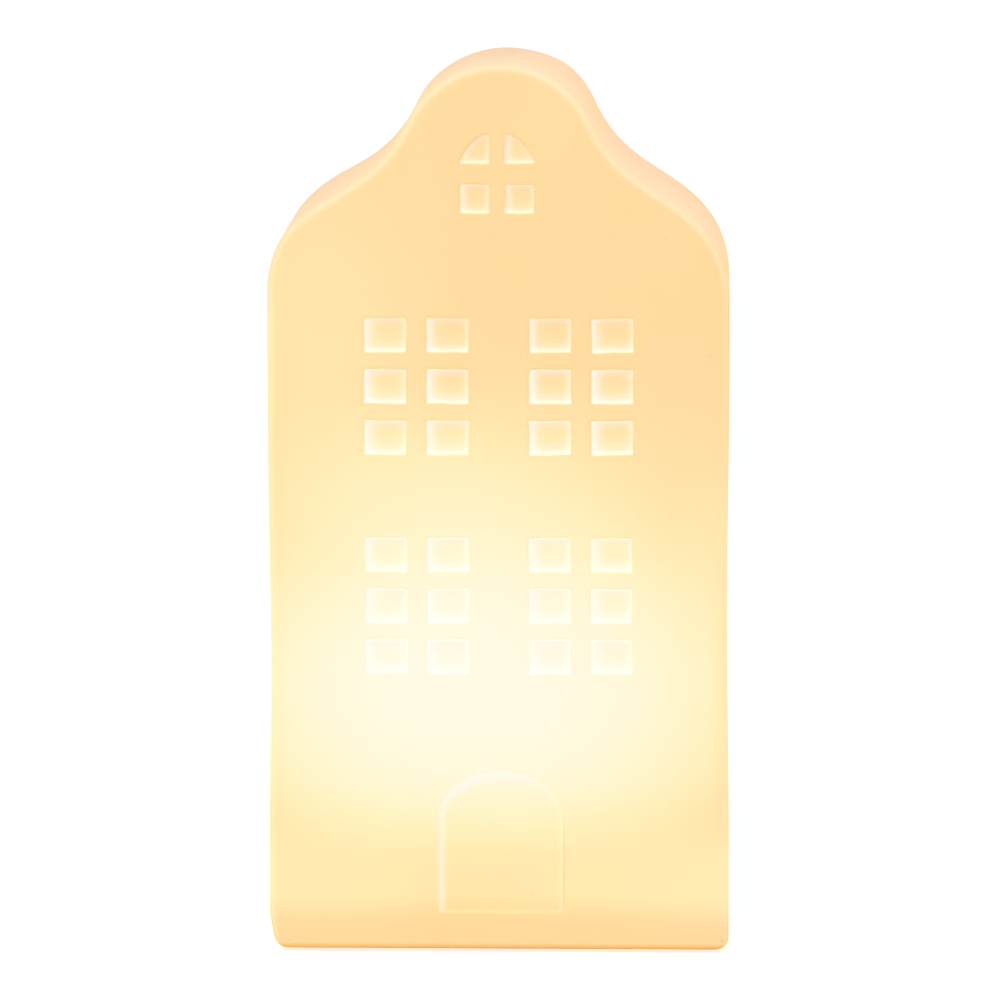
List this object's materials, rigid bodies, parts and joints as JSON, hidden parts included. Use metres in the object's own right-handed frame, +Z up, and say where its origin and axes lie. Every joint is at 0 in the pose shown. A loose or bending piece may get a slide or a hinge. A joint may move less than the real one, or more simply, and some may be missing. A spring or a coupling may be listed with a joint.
{
  "type": "house night light",
  "caption": "Hollow matt porcelain gable house with shallow window and door recesses, lit from inside by a battery lamp unit that it lifts off.",
  "frame": {"origin": "on the floor, under the middle of the house", "axes": "+Z up, the front with its windows and door looks along -Y, +X to the right seen from the front"},
  "size_m": [0.124, 0.08, 0.24],
  "materials": {
    "porcelain": "matte",
    "silicone": "matte",
    "rubber": "matte",
    "white_plastic": "satin",
    "dark_plastic": "matte",
    "frosted_plastic": "satin",
    "steel": "satin",
    "spring_steel": "gloss",
    "cell_sleeve": "gloss",
    "circuit_board": "satin",
    "led_lens": "gloss",
    "red_sleeve": "satin",
    "black_sleeve": "satin"
  },
  "bodies": {
    "lamp_unit": {"bottom_plate": "dark_plastic", "grip_ring": "silicone", "unit_foot_1": "rubber", "unit_foot_2": "rubber", "unit_foot_3": "rubber", "unit_foot_4": "rubber", "base_screw_1": "steel", "base_screw_2": "steel", "base_screw_3": "steel", "base_screw_4": "steel", "unit_housing": "white_plastic", "cell_1": "cell_sleeve", "cell_2": "cell_sleeve", "cell_3": "cell_sleeve", "cell_spring_1": "spring_steel", "cell_spring_2": "spring_steel", "cell_spring_3": "spring_steel", "contact_top_single": "steel", "contact_top_bridge": "steel", "contact_bottom_bridge": "steel", "contact_bottom_single": "steel", "reflector_dish": "white_plastic", "led_board": "circuit_board", "board_screw_1": "steel", "board_screw_2": "steel", "led_1": "led_lens", "led_2": "led_lens", "led_3": "led_lens", "resistor": "dark_plastic", "diffuser_dome": "frosted_plastic", "switch_body": "steel", "wire_positive": "red_sleeve", "wire_switch": "black_sleeve", "wire_board": "black_sleeve"},
    "house": {"house_shell": "porcelain", "house_pad_1": "silicone", "house_pad_2": "silicone", "house_pad_3": "silicone", "house_pad_4": "silicone"},
    "battery_cover": {"battery_cover": "white_plastic"},
    "switch_knob": {"switch_knob": "dark_plastic"}
  },
  "joints": [
    {"name": "house_lift", "type": "slide", "parent": "lamp_unit", "child": "house", "axis": [0, 0, 1], "range_m": [0, 0.09]},
    {"name": "battery_cover_pull", "type": "slide", "parent": "lamp_unit", "child": "battery_cover", "axis": [0, 1, 0], "range_m": [0, 0.02]},
    {"name": "switch_slide", "type": "slide", "parent": "lamp_unit", "child": "switch_knob", "axis": [1, 0, 0], "range_m": [-0.003, 0]}
  ]
}
